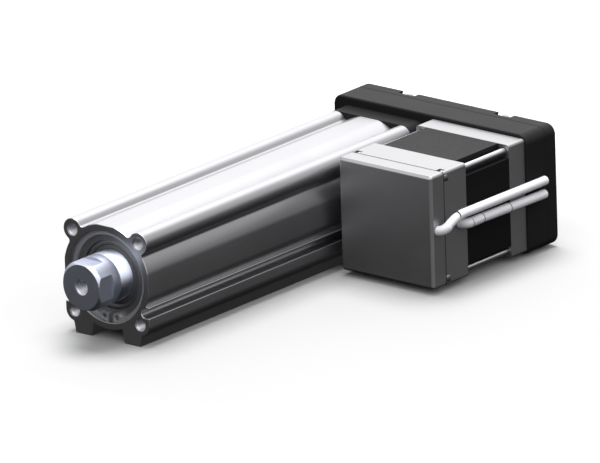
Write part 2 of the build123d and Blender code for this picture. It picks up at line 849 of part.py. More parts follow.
def rotor_cores():
    """Two steel cups, one on each side of the magnet."""
    front, magnet_front, magnet_rear, rear = rotor_span()
    inner = shaft_radius + seat_gap
    outer = stator_bore_radius - air_gap
    spans = ((front, magnet_front), (magnet_rear, rear))
    return joined([at_motor(ring(inner, outer, start, end)) for start, end in spans])


def rotor_magnet():
    front, magnet_front, magnet_rear, rear = rotor_span()
    outer = stator_bore_radius - rotor_magnet_setback
    return at_motor(ring(shaft_radius + seat_gap, outer, magnet_front, magnet_rear))


def motor_bearing_fronts():
    return stack_front - winding_room_depth - motor_bearing_width, flange_front + winding_room_depth


def motor_bearing_outer_rings():
    radius = motor_bearing_radius - seat_gap
    return joined([at_motor(bearing_outer(shaft_radius, radius, y)) for y in motor_bearing_fronts()])


def motor_bearing_inner_rings():
    inner = shaft_radius + seat_gap
    outer = shaft_radius + bearing_ring_wall
    return joined([at_motor(ring(inner, outer, y, y + motor_bearing_width)) for y in motor_bearing_fronts()])


def encoder_disc():
    """Coded disc on a small hub at the shaft's front end."""
    front = cap_front + encoder_disc_setback
    disc = ring(shaft_radius + seat_gap, encoder_disc_radius, front, front + encoder_disc_thickness)
    disc += ring(shaft_radius + seat_gap, shaft_radius + encoder_hub_wall, front, front + 2 * encoder_disc_thickness)
    return at_motor(disc)


def encoder_board():
    board = along(motor_square(board_size, board_corner), cap_front - board_thickness, cap_front)
    for x, z in corners(board_screw_offset):
        board -= hole(M25[0] + screw_hole_gap, cap_front - board_thickness, cap_front, x, z)
    for x, z in corners(motor_bolt_offset):
        board -= hole(bolt_pocket_radius + clear_gap, cap_front - board_thickness, cap_front, x, z)
    return at_motor(board)


def encoder_board_screws():
    seat = cap_front - board_thickness
    screw = mirror(cap_screw(M25, 0, board_thickness + board_screw_grip), about=Plane.XZ)
    return joined([Pos(motor_x + x, seat, z) * screw for x, z in corners(board_screw_offset)])


def motor_pulley():
    return at_motor(pulley(motor_tooth_angle()))


def motor_pulley_set_screw():
    return at_motor(set_screw(motor_tooth_angle()))


# Leads and their moulded outlets

def cable_outlet(place, rise):
    """Moulded elbow that leaves the motor's side face and turns to the rear, rising by the given angle."""
    station, level = place
    bend = CenterArc((0, outlet_bend), outlet_bend, -90, 90)
    elbow = sweep(Plane.YZ * Circle(outlet_diameter / 2), path=bend)
    return Pos(motor_x + motor_size / 2, station, level) * Rot(rise, 0, 0) * elbow


def cable(route):
    """Round lead of straight runs joined by tangent arcs."""
    radii = []
    for before, corner, after in zip(route, route[1:], route[2:]):
        into = Vector(*corner) - Vector(*before)
        away = Vector(*after) - Vector(*corner)
        shorter = min(into.length, away.length)
        radii.append(0.45 * shorter / tan(radians(into.get_angle(away) / 2)))
    path = FilletPolyline(*route, radius=radii)
    lead = sweep(Plane(origin=path @ 0, z_dir=path % 0) * Circle(lead_diameter / 2), path=path)
    section = pi * lead_diameter ** 2 / 4
    print("cable radii", [round(radius, 1) for radius in radii], "volume over section and length",
          round(lead.volume / (section * path.length), 4))
    return lead


PARTS = {
    "body_tube": body_tube,
    "rod_cover": rod_cover,
    "rod_bush": rod_bush,
    "rod_scraper": rod_scraper,
    "cover_o_ring": cover_o_ring,
    "cover_retaining_ring": cover_retaining_ring,
    "front_bumper": front_bumper,
    "rear_bumper": rear_bumper,
    "piston_rod": piston_rod,
    "rod_socket": rod_socket,
    "piston": piston,
    "wear_ring": wear_ring,
    "magnet_ring": magnet_ring,
    "rotation_stopper": rotation_stopper,
    "ball_nut": ball_nut,
    "ball_screw": ball_screw,
    "screw_tip_ring": screw_tip_ring,
    "bearing_housing": bearing_housing,
    "screw_bearing_outer_rings": screw_bearing_outer_rings,
    "screw_bearing_inner_rings": screw_bearing_inner_rings,
    "bearing_retainer": bearing_retainer,
    "screw_lock_nut": screw_lock_nut,
    "screw_pulley": lambda: pulley(0),
    "screw_pulley_set_screw": lambda: set_screw(0),
    "motor_pulley": motor_pulley,
    "motor_pulley_set_screw": motor_pulley_set_screw,
    "timing_belt": timing_belt,
    "return_box": return_box,
    "return_plate": return_plate,
    "plate_screws": plate_screws,
    "body_screws": body_screws,
    "motor_flange": motor_flange,
    "motor_stator_stack": motor_stator_stack,
    "motor_windings": motor_windings,
    "motor_end_cap": motor_end_cap,
    "motor_cover": motor_cover,
    "motor_bolts": motor_bolts,
    "motor_shaft": motor_shaft,
    "rotor_cores": rotor_cores,
    "rotor_magnet": rotor_magnet,
    "motor_bearing_outer_rings": motor_bearing_outer_rings,
    "motor_bearing_inner_rings": motor_bearing_inner_rings,
    "encoder_disc": encoder_disc,
    "encoder_board": encoder_board,
    "encoder_board_screws": encoder_board_screws,
    "encoder_cable_outlet": lambda: cable_outlet(encoder_outlet, encoder_outlet_rise),
    "motor_cable_outlet": lambda: cable_outlet(motor_outlet, 0),
    "encoder_cable": lambda: cable(encoder_route),
    "motor_cable": lambda: cable(motor_route),
}

os.makedirs("parts", exist_ok=True)
for name, make in PARTS.items():
    export_step(make(), f"parts/{name}.step")
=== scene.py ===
import json
import math

import bmesh
import bpy
from mathutils import Matrix, Vector


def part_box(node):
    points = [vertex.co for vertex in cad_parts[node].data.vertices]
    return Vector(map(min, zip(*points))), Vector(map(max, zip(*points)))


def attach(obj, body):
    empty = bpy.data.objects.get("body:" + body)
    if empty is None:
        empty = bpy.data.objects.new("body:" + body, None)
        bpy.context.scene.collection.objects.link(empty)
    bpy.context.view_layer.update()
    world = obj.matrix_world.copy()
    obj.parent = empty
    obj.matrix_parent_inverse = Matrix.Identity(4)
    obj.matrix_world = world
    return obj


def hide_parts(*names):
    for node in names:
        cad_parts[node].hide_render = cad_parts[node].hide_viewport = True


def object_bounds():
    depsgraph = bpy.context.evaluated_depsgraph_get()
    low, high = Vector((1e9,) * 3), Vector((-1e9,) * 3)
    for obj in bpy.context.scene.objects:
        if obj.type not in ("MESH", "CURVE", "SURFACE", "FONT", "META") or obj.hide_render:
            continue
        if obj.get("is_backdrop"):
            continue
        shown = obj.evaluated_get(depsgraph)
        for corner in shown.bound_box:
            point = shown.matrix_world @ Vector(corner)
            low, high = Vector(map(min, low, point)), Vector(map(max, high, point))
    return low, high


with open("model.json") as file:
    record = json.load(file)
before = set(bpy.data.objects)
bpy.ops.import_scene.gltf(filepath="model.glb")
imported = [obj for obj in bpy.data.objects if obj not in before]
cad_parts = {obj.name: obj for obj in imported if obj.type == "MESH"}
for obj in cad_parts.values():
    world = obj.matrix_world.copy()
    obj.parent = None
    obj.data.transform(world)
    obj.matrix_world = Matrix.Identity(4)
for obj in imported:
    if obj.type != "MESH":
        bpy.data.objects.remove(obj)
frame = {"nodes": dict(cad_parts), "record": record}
cad_low, cad_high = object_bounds()
scene = bpy.context.scene


# Body: an aluminium extrusion, drawn in one length and clear anodised, then sawn and milled square at its
# ends. The draw lines run along it; real ones are about 0.1 mm apart, and these 0.4 mm, so that they show.
def linear(colour):
    """A hex sRGB colour as linear red, green, blue and full alpha."""
    parts = [int(colour[i:i + 2], 16) / 255 for i in (1, 3, 5)]
    return [c / 12.92 if c <= 0.04045 else ((c + 0.055) / 1.055) ** 2.4 for c in parts] + [1.0]


def add_node(tree, kind, settings=None, links=None):
    """Add a node, set its properties and sockets by name, and link other nodes' outputs to its inputs."""
    node = tree.nodes.new(kind)
    for name, value in (settings or {}).items():
        if name in node.inputs:
            node.inputs[name].default_value = value
        else:
            setattr(node, name, value)
    for name, output in (links or {}).items():
        tree.links.new(output, node.inputs[name])
    return node


def new_material(name, colour, metallic=0.0):
    """A material of one colour, with its node tree, its Principled shader and its Object coordinates."""
    material = bpy.data.materials.new(name)
    material.use_nodes = True
    tree = material.node_tree
    shader = tree.nodes["Principled BSDF"]
    shader.inputs["Base Color"].default_value = linear(colour)
    shader.inputs["Metallic"].default_value = metallic
    return material, tree, shader, add_node(tree, "ShaderNodeTexCoord").outputs["Object"]


def dress(node, material, edge=0.0):
    """Give a CAD node its finish, with its edges broken by the given width in metres."""
    piece = frame["nodes"][node]
    piece.data.materials.clear()
    piece.data.materials.append(material)
    for face in piece.data.polygons:
        face.use_smooth = True
    weld = piece.modifiers.new("merge", "WELD")
    weld.merge_threshold = 1e-6
    flat = piece.modifiers.new("flats", "DECIMATE")
    flat.decimate_type = "DISSOLVE"
    flat.angle_limit = math.radians(0.6)
    if edge:
        bevel = piece.modifiers.new("broken_edges", "BEVEL")
        bevel.width = edge
        bevel.segments = 2
        bevel.limit_method = "ANGLE"
        bevel.angle_limit = math.radians(30)
        bevel.miter_outer = "MITER_ARC"
        bevel.harden_normals = True
    normal = piece.modifiers.new("even_shading", "WEIGHTED_NORMAL")
    normal.keep_sharp = True
    return piece


# Each pattern's scale is given as how many of its grains or lines lie on a millimetre
mm = 0.001
extruded, tree, shader, place = new_material("anodised_extruded_aluminium", "#A9A9AC", 1.0)
# Clear anodised: a satin grey metal that blurs what it reflects, with faint clouds about 17 mm across
along = add_node(
    tree, "ShaderNodeMapping", {"Scale": (2.5 / mm, 0.012 / mm, 2.5 / mm)}, {"Vector": place}
).outputs["Vector"]
draw = add_node(
    tree, "ShaderNodeTexNoise", {"Scale": 1, "Detail": 4, "Roughness": 0.6}, {"Vector": along}
).outputs["Fac"]
cloud = add_node(
    tree, "ShaderNodeTexNoise", {"Scale": 0.06 / mm, "Detail": 3}, {"Vector": place}
).outputs["Fac"]
lines = add_node(tree, "ShaderNodeMapRange", {"To Min": 0.28, "To Max": 0.38}, {"Value": draw})
patches = add_node(tree, "ShaderNodeMapRange", {"To Min": -0.03, "To Max": 0.03}, {"Value": cloud})
both = add_node(tree, "ShaderNodeMath", {"operation": "ADD"})
tree.links.new(lines.outputs["Result"], both.inputs[0])
tree.links.new(patches.outputs["Result"], both.inputs[1])
relief = add_node(tree, "ShaderNodeBump", {"Strength": 0.15, "Distance": 0.00004}, {"Height": draw})
# The milled ends, whose normals point along Y, have an even shine of their own
normal = add_node(tree, "ShaderNodeTexCoord").outputs["Normal"]
facing = add_node(tree, "ShaderNodeSeparateXYZ", {}, {"Vector": normal}).outputs["Y"]
square = add_node(tree, "ShaderNodeMath", {"operation": "ABSOLUTE"})
tree.links.new(facing, square.inputs[0])
milled = add_node(
    tree, "ShaderNodeMapRange", {"From Min": 0.8, "From Max": 0.9}, {"Value": square.outputs["Value"]}
)
finish = add_node(tree, "ShaderNodeMix", {"data_type": "FLOAT"})
tree.links.new(milled.outputs["Result"], finish.inputs[0])
tree.links.new(both.outputs["Value"], finish.inputs[2])
finish.inputs[3].default_value = 0.36
tree.links.new(finish.outputs[0], shader.inputs["Roughness"])
tree.links.new(relief.outputs["Normal"], shader.inputs["Normal"])
piece = dress("body_tube", extruded, 0.0004)
# The short sides of its arcs would otherwise hold the bevel back to nothing
piece.modifiers["broken_edges"].use_clamp_overlap = False


# Screw threads in the body's front: each lug is drilled and tapped M6 after anodising, so the flanks that
# the tap leaves are bare aluminium. Each is one helical ridge, made from its section.
def thread(radius, pitch, length):
    """A helical ridge inside a hole round the Y axis, from the origin to a depth, for a coarse thread."""
    steps = 24
    height = 0.6 * pitch
    section = [
        (radius, 0.06 * pitch), (radius - height, 0.42 * pitch),
        (radius - height, 0.58 * pitch), (radius, 0.94 * pitch),
    ]
    shape = bmesh.new()
    face = shape.faces.new([shape.verts.new((across, station, 0)) for across, station in section])
    turns = int(length / pitch) - 1
    bmesh.ops.spin(
        shape, geom=[face], cent=(0, 0, 0), axis=(0, 1, 0), dvec=(0, pitch / steps, 0),
        angle=2 * math.pi * turns, steps=steps * turns, use_merge=False, use_duplicate=False,
    )
    open_end = [edge for edge in shape.edges if len(edge.link_faces) == 1]
    bmesh.ops.holes_fill(shape, edges=open_end, sides=4)
    bmesh.ops.recalc_face_normals(shape, faces=shape.faces)
    return shape


def smoothed(shape, angle=30):
    """Smooth the faces of a bmesh and keep the edges sharper than an angle."""
    for face in shape.faces:
        face.smooth = True
    for edge in shape.edges:
        edge.smooth = len(edge.link_faces) == 2 and edge.calc_face_angle(0) < math.radians(angle)
    return shape


def add_piece(name, shape, material, body):
    """Make a finished bmesh a piece that rides on a body and takes its finish from a slot."""
    mesh = bpy.data.meshes.new(name)
    shape.to_mesh(mesh)
    shape.free()
    mesh.materials.append(material)
    piece = bpy.data.objects.new(name, mesh)
    scene.collection.objects.link(piece)
    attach(piece, body)
    return piece


cut, tree, shader, place = new_material("tapped_bright_metal", "#E4E4EA", 1.0)
# Freshly cut metal: bright, with tool marks 0.3 mm apart that blur what it reflects
marks = add_node(tree, "ShaderNodeTexNoise", {"Scale": 3 / mm, "Detail": 2}, {"Vector": place}).outputs["Fac"]
relief = add_node(tree, "ShaderNodeBump", {"Strength": 0.1, "Distance": 0.00002}, {"Height": marks})
shader.inputs["Roughness"].default_value = 0.38
tree.links.new(relief.outputs["Normal"], shader.inputs["Normal"])
mount_sizes = {mount["name"]: mount["dims"] for mount in frame["record"]["mounts"]}
lug = mount_sizes["front_holes"]["spacing_x_mm"] / 2 * mm
lug_hole = mount_sizes["front_holes"]["hole_r_mm"] * mm
flank_gap = 0.00001
lead_in = 0.0002
for name, x, z in (
    ("upper_left_lug_thread", -lug, lug), ("upper_right_lug_thread", lug, lug),
    ("lower_left_lug_thread", -lug, -lug), ("lower_right_lug_thread", lug, -lug),
):
    shape = thread(lug_hole - flank_gap, 0.001, 0.0098)
    bmesh.ops.translate(shape, verts=shape.verts, vec=(x, lead_in, z))
    add_piece(name, smoothed(shape, 20), cut, "frame")


# Ball screw, nut and bearings with their housing, the motor's shaft, and the rings and nuts that hold them:
# alloy steel, turned and partly ground, left bright and oiled.
turned, tree, shader, place = new_material("turned_steel", "#C0C5D4", 1.0)
# Bright and cool in colour, with tool marks 0.2 mm apart round the rod's axis
rings = add_node(
    tree, "ShaderNodeMapping", {"Scale": (0.06 / mm, 5 / mm, 0.06 / mm)}, {"Vector": place}
).outputs["Vector"]
marks = add_node(tree, "ShaderNodeTexNoise", {"Scale": 1, "Detail": 3}, {"Vector": rings}).outputs["Fac"]
tone = add_node(tree, "ShaderNodeMapRange", {"To Min": 0.36, "To Max": 0.46}, {"Value": marks})
relief = add_node(tree, "ShaderNodeBump", {"Strength": 0.05, "Distance": 0.00002}, {"Height": marks})
tree.links.new(tone.outputs["Result"], shader.inputs["Roughness"])
tree.links.new(relief.outputs["Normal"], shader.inputs["Normal"])
for node in (
    "ball_nut", "ball_screw", "bearing_housing", "bearing_retainer", "screw_lock_nut", "motor_shaft",
    "screw_bearing_outer_rings", "screw_bearing_inner_rings", "motor_bearing_outer_rings",
    "motor_bearing_inner_rings",
):
    dress(node, turned)


# Small inner pieces that only show when the actuator is taken apart: the rod's bush, the plastic slides and
# rings, the magnets, the motor's coils and the encoder's board. All have a grain of 0.5 mm.
for name, colour, metallic, roughness, nodes in (
    # Sintered bronze, damp with oil: a dull gold
    ("oil_filled_bronze", "#B08A54", 1.0, 0.4, ("rod_bush",)),
    # Moulded acetal: milky and waxy
    ("white_acetal", "#E6E3DA", 0.0, 0.4, ("rotation_stopper", "wear_ring", "screw_tip_ring")),
    # Sintered magnet powder: dark and matt
    ("sintered_magnet", "#5A5A5E", 1.0, 0.5, ("magnet_ring", "rotor_magnet")),
    # Enamelled winding wire: a deep shiny copper
    ("lacquered_copper_wire", "#B8653A", 1.0, 0.3, ("motor_windings",)),
    # Glass-fibre board under solder mask: an even green with a soft shine
    ("green_circuit_board", "#1F5C3A", 0.0, 0.35, ("encoder_board",)),
):
    material, tree, shader, place = new_material(name, colour, metallic)
    grain = add_node(tree, "ShaderNodeTexNoise", {"Scale": 2 / mm, "Detail": 3}, {"Vector": place})
    relief = add_node(
        tree, "ShaderNodeBump", {"Strength": 0.2, "Distance": 0.00005}, {"Height": grain.outputs["Fac"]}
    )
    shader.inputs["Roughness"].default_value = roughness
    tree.links.new(relief.outputs["Normal"], shader.inputs["Normal"])
    for node in nodes:
        dress(node, material)


# Rubber pieces: the cover's seal, the timing belt and the bumpers at both ends of the stroke, moulded from
# nitrile rubber and pressed or laid into their seats.
rubber, tree, shader, place = new_material("nitrile_rubber", "#1C1C1D")
# Nearly black and matt, with a moulded skin whose grain is 0.4 mm
skin = add_node(
    tree, "ShaderNodeTexNoise", {"Scale": 2.5 / mm, "Detail": 3}, {"Vector": place}
).outputs["Fac"]
relief = add_node(tree, "ShaderNodeBump", {"Strength": 0.25, "Distance": 0.00005}, {"Height": skin})
shader.inputs["Roughness"].default_value = 0.62
tree.links.new(relief.outputs["Normal"], shader.inputs["Normal"])
for node in ("cover_o_ring", "timing_belt", "front_bumper", "rear_bumper"):
    dress(node, rubber)


# Turned and machined aluminium pieces: the piston, the rod's cover, both pulleys, and the motor's flange, end
# cap, cover and encoder disc. They are bead-blasted and clear anodised before they are screwed together.
blasted, tree, shader, place = new_material("blasted_anodised_aluminium", "#9B9B9D", 1.0)
# An even, soft grey; the blasting's grain of about 0.1 mm is drawn at 0.25 mm so that it shows
grain = add_node(tree, "ShaderNodeTexNoise", {"Scale": 4 / mm, "Detail": 2}, {"Vector": place}).outputs["Fac"]
cloud = add_node(
    tree, "ShaderNodeTexNoise", {"Scale": 0.08 / mm, "Detail": 3}, {"Vector": place}
).outputs["Fac"]
tone = add_node(tree, "ShaderNodeMapRange", {"To Min": 0.42, "To Max": 0.5}, {"Value": cloud})
relief = add_node(tree, "ShaderNodeBump", {"Strength": 0.12, "Distance": 0.00003}, {"Height": grain})
tree.links.new(tone.outputs["Result"], shader.inputs["Roughness"])
tree.links.new(relief.outputs["Normal"], shader.inputs["Normal"])
for node, edge in (
    ("piston", 0.0003), ("rod_cover", 0.0002), ("screw_pulley", 0.0), ("motor_pulley", 0.0),
    ("motor_flange", 0.0003), ("motor_end_cap", 0.0002), ("motor_cover", 0.0002), ("encoder_disc", 0.0),
):
    dress(node, blasted, edge)


# Piston rod: a carbon-steel tube, ground round and hard chromed, then ground once more to size.
# It is screwed into the piston and carries the rod end at its front.
chrome, tree, shader, place = new_material("hard_chromed_steel", "#C6CBDC", 1.0)
# Bright with a cool blue cast; the grinding marks round it are drawn 0.25 mm apart so that they show
rings = add_node(
    tree, "ShaderNodeMapping", {"Scale": (0.04 / mm, 4 / mm, 0.04 / mm)}, {"Vector": place}
).outputs["Vector"]
grind = add_node(tree, "ShaderNodeTexNoise", {"Scale": 1, "Detail": 3}, {"Vector": rings}).outputs["Fac"]
tone = add_node(tree, "ShaderNodeMapRange", {"To Min": 0.28, "To Max": 0.36}, {"Value": grind})
relief = add_node(tree, "ShaderNodeBump", {"Strength": 0.08, "Distance": 0.00002}, {"Height": grind})
tree.links.new(tone.outputs["Result"], shader.inputs["Roughness"])
tree.links.new(relief.outputs["Normal"], shader.inputs["Normal"])
dress("piston_rod", chrome)


# Rod end: turned from steel bar with four milled wrench flats, and screwed into the rod.
# Its front has an M8 hole, tapped last.
dress("rod_socket", turned, 0.00025)
rod_end_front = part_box("rod_socket")[0].y
rod_end_hole = mount_sizes["rod_end_thread"]["r_mm"] * mm
shape = thread(rod_end_hole - flank_gap, 0.00125, 0.0125)
bmesh.ops.translate(shape, verts=shape.verts, vec=(0, rod_end_front + 0.0003, 0))
add_piece("rod_end_thread", smoothed(shape, 20), cut, "rod")


# Rod wiper, pressed into the cover's mouth: a steel case, its rim rolled over, with a polyurethane lip bonded
# in. The lip runs on the rod and stands a little in front of the case.
def spun(section, steps=96):
    """Spin a closed section of (radius, station) corners in metres once round the Y axis."""
    shape = bmesh.new()
    corners = [shape.verts.new((radius, station, 0)) for radius, station in section]
    edges = [shape.edges.new((a, b)) for a, b in zip(corners, corners[1:] + corners[:1])]
    bmesh.ops.spin(
        shape, geom=corners + edges, cent=(0, 0, 0), axis=(0, 1, 0), dvec=(0, 0, 0), angle=2 * math.pi,
        steps=steps, use_merge=True, use_duplicate=False,
    )
    bmesh.ops.remove_doubles(shape, verts=shape.verts, dist=1e-7)
    bmesh.ops.recalc_face_normals(shape, faces=shape.faces)
    return shape


seat_low, seat_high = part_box("rod_scraper")
case_outer = seat_high.x
case_inner = case_outer - 0.00253
case_front = seat_low.y
case_rear = seat_high.y
roll = 0.0004
shape = spun([
    (case_inner, case_front + roll), (case_inner + roll, case_front), (case_outer - roll, case_front),
    (case_outer, case_front + roll), (case_outer, case_rear), (case_inner, case_rear),
])
case = add_piece("wiper_case", smoothed(shape, 50), blasted, "frame")
polyurethane, tree, shader, place = new_material("grey_polyurethane", "#4C4C4E")
# Moulded polyurethane: a mid grey, smooth and slightly waxy, with a skin grain of 0.4 mm
skin = add_node(
    tree, "ShaderNodeTexNoise", {"Scale": 2.5 / mm, "Detail": 2}, {"Vector": place}
).outputs["Fac"]
tone = add_node(tree, "ShaderNodeMapRange", {"To Min": 0.42, "To Max": 0.54}, {"Value": skin})
shader.inputs["IOR"].default_value = 1.5
tree.links.new(tone.outputs["Result"], shader.inputs["Roughness"])
rod_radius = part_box("piston_rod")[1].x
lip_inner = rod_radius + 0.00005
lip_outer = case_inner - 0.00005
shape = spun([
    (lip_inner, case_front - 0.0003), (lip_inner + 0.0005, case_front - 0.0005),
    (lip_inner + 0.0011, case_front + 0.0004), (lip_outer, case_front + 0.0007), (lip_outer, case_rear),
    (lip_inner + 0.0012, case_rear), (lip_inner + 0.0009, case_front + 0.0018),
    (lip_inner, case_front + 0.0009),
])
lip = add_piece("wiper_lip", smoothed(shape, 50), polyurethane, "frame")
for piece in (case, lip):
    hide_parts("rod_scraper")


# Retaining ring in front of the cover: stamped from spring steel with two drilled ears, tumbled, mechanically
# zinc plated and snapped into its groove. The tumbling rounds its edges a little.
plated, tree, shader, place = new_material("tumbled_zinc_spring_steel", "#C8C8CC", 1.0)
# Pale and matt, from dimples 0.3 mm across
dimples = add_node(
    tree, "ShaderNodeTexNoise", {"Scale": 3 / mm, "Detail": 3}, {"Vector": place}
).outputs["Fac"]
tone = add_node(tree, "ShaderNodeMapRange", {"To Min": 0.52, "To Max": 0.66}, {"Value": dimples})
relief = add_node(tree, "ShaderNodeBump", {"Strength": 0.15, "Distance": 0.00003}, {"Height": dimples})
tree.links.new(tone.outputs["Result"], shader.inputs["Roughness"])
tree.links.new(relief.outputs["Normal"], shader.inputs["Normal"])
dress("cover_retaining_ring", plated, 0.0001)


# Return box and its plate: aluminium castings, machined where they seat and black anodised.
# The box is screwed to the body and the motor, and the plate closes its rear over the belt.
black, tree, shader, place = new_material("black_anodised_casting", "#1B1B1C")
# Satin black; the cast skin's sandy grain is 0.4 mm, with faint clouds 22 mm across
grain = add_node(
    tree, "ShaderNodeTexNoise", {"Scale": 2.6 / mm, "Detail": 3}, {"Vector": place}
).outputs["Fac"]
cloud = add_node(
    tree, "ShaderNodeTexNoise", {"Scale": 0.045 / mm, "Detail": 4}, {"Vector": place}
).outputs["Fac"]
tone = add_node(tree, "ShaderNodeMapRange", {"To Min": 0.42, "To Max": 0.54}, {"Value": cloud})
relief = add_node(tree, "ShaderNodeBump", {"Strength": 0.2, "Distance": 0.00004}, {"Height": grain})
shader.inputs["Specular IOR Level"].default_value = 0.06
tree.links.new(tone.outputs["Result"], shader.inputs["Roughness"])
tree.links.new(relief.outputs["Normal"], shader.inputs["Normal"])
for node in ("return_box", "return_plate"):
    piece = dress(node, black, 0.0004)
    # The round corners' short sides would otherwise hold the bevel back to nothing
    piece.modifiers["broken_edges"].use_clamp_overlap = False


# Motor stack and rotor cores: punched steel laminations 0.5 mm thick, stacked, welded and black lacquered.
# The four long bolts clamp the stack between the motor's flange and its end cap.
laminated, tree, shader, place = new_material("black_lacquered_laminations", "#131314")
# Black with a low shine, in fine lines where the sheets' edges meet and patches of wear 1 mm across.
# The wave repeats every 2 pi / (20 x scale) along Y, which is one sheet
sheet = 0.5 * mm
sheets = add_node(
    tree, "ShaderNodeTexWave", {"bands_direction": "Y", "Scale": math.pi / (10 * sheet), "Distortion": 0.0},
    {"Vector": place},
).outputs["Fac"]
wear = add_node(
    tree, "ShaderNodeTexNoise", {"Scale": 0.9 / mm, "Detail": 3}, {"Vector": place}
).outputs["Fac"]
tone = add_node(tree, "ShaderNodeMapRange", {"To Min": 0.36, "To Max": 0.5}, {"Value": wear})
relief = add_node(tree, "ShaderNodeBump", {"Strength": 0.35, "Distance": 0.00006}, {"Height": sheets})
shader.inputs["Specular IOR Level"].default_value = 0.06
tree.links.new(tone.outputs["Result"], shader.inputs["Roughness"])
tree.links.new(relief.outputs["Normal"], shader.inputs["Normal"])
dress("motor_stator_stack", laminated, 0.0002)
dress("rotor_cores", laminated)


# Screws: steel cap and set screws, cold headed, with rolled threads and pressed sockets. Those that show are
# zinc plated and those inside are black oxide.
for name, colour, smoothest, roughest, edge, nodes in (
    # Fresh zinc: bright and slightly blurred
    ("zinc_plated_steel", "#D2D3D6", 0.22, 0.4, 0.00015, ("motor_bolts", "encoder_board_screws")),
    # The plate's screws are handled and weathered, so their zinc is greyer and more blurred
    ("dulled_zinc_plated_steel", "#8F9094", 0.36, 0.52, 0.00015, ("plate_screws",)),
    # Oiled oxide: nearly black with a low metal shine
    (
        "black_oxide_steel", "#242427", 0.3, 0.45, 0.0,
        ("body_screws", "screw_pulley_set_screw", "motor_pulley_set_screw"),
    ),
):
    steel, tree, shader, place = new_material(name, colour, 1.0)
    # The plating's bloom, in spots 0.7 mm across
    bloom = add_node(tree, "ShaderNodeTexNoise", {"Scale": 1.5 / mm, "Detail": 4}, {"Vector": place})
    tone = add_node(
        tree, "ShaderNodeMapRange", {"To Min": smoothest, "To Max": roughest}, {"Value": bloom.outputs["Fac"]}
    )
    tree.links.new(tone.outputs["Result"], shader.inputs["Roughness"])
    for node in nodes:
        dress(node, steel, edge)


# Gaskets: flat rubber frames, punched from sheet and squeezed between the motor's cover and end cap, and
# between the return box and its plate. Only their edges show, as a dark line round each joint.
def frame_plate(width, height, corner, front, rear, x):
    """A plate with rounded corners across the Y axis, between two stations."""
    shape = bmesh.new()
    bmesh.ops.create_grid(shape, x_segments=1, y_segments=1, size=0.5)
    bmesh.ops.scale(shape, verts=shape.verts, vec=(width, height, 1))
    bmesh.ops.bevel(
        shape, geom=shape.verts[:], offset=corner, segments=8, profile=0.5, affect="VERTICES", material=-1,
    )
    bmesh.ops.rotate(shape, verts=shape.verts, matrix=Matrix.Rotation(math.radians(90), 3, "X"))
    bmesh.ops.translate(shape, verts=shape.verts, vec=(x, front, 0))
    made = bmesh.ops.extrude_face_region(shape, geom=shape.faces[:])["geom"]
    corners = [item for item in made if isinstance(item, bmesh.types.BMVert)]
    bmesh.ops.translate(shape, verts=corners, vec=(0, rear - front, 0))
    bmesh.ops.recalc_face_normals(shape, faces=shape.faces)
    return shape


half_thickness = 0.0003
band = 0.0012
# Each has the piece behind its joint, how far it stands proud of that piece's sides, and its corners' radius
for name, behind, proud, corner in (
    ("motor_cover_gasket", "motor_end_cap", 0.00005, 0.0015),
    ("return_plate_gasket", "return_plate", -0.00025, 0.00475),
):
    low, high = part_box(behind)
    width = high.x - low.x + 2 * proud
    height = high.z - low.z + 2 * proud
    middle = (low.x + high.x) / 2
    shape = frame_plate(width, height, corner, low.y - half_thickness, low.y + half_thickness, middle)
    flats = [face for face in shape.faces if abs(face.normal.y) > 0.9]
    bmesh.ops.delete(shape, geom=flats, context="FACES_ONLY")
    bmesh.ops.solidify(shape, geom=shape.faces[:], thickness=band)
    bmesh.ops.recalc_face_normals(shape, faces=shape.faces)
    add_piece(name, smoothed(shape), rubber, "frame")


# Elbows where the leads leave the motor: small plastic mouldings, pushed through the motor's side wall.
# Each turns its lead to the rear.
moulded, tree, shader, place = new_material("moulded_grey_plastic", "#BCBCC0")
# Light grey and glossy from the mould, with a very fine orange peel 0.6 mm across
peel = add_node(
    tree, "ShaderNodeTexNoise", {"Scale": 1.8 / mm, "Detail": 2}, {"Vector": place}
).outputs["Fac"]
relief = add_node(tree, "ShaderNodeBump", {"Strength": 0.1, "Distance": 0.00005}, {"Height": peel})
shader.inputs["Roughness"].default_value = 0.34
tree.links.new(relief.outputs["Normal"], shader.inputs["Normal"])
for node in ("encoder_cable_outlet", "motor_cable_outlet"):
    dress(node, moulded)


# Encoder and motor leads: round cables 4.5 mm thick, with a light grey vinyl jacket extruded over twisted
# cores. They leave the motor's side through their elbows and run to the rear side by side, where they end in
# a plain cut.
vinyl, tree, shader, place = new_material("grey_vinyl_jacket", "#BFBFC3")
# Extruded soft vinyl: even, a little waxy, with a faint ripple 2 mm long where the cores press through
ripple = add_node(
    tree, "ShaderNodeTexNoise", {"Scale": 0.5 / mm, "Detail": 3}, {"Vector": place}
).outputs["Fac"]
tone = add_node(tree, "ShaderNodeMapRange", {"To Min": 0.42, "To Max": 0.56}, {"Value": ripple})
relief = add_node(tree, "ShaderNodeBump", {"Strength": 0.12, "Distance": 0.0001}, {"Height": ripple})
shader.inputs["IOR"].default_value = 1.53
tree.links.new(tone.outputs["Result"], shader.inputs["Roughness"])
tree.links.new(relief.outputs["Normal"], shader.inputs["Normal"])

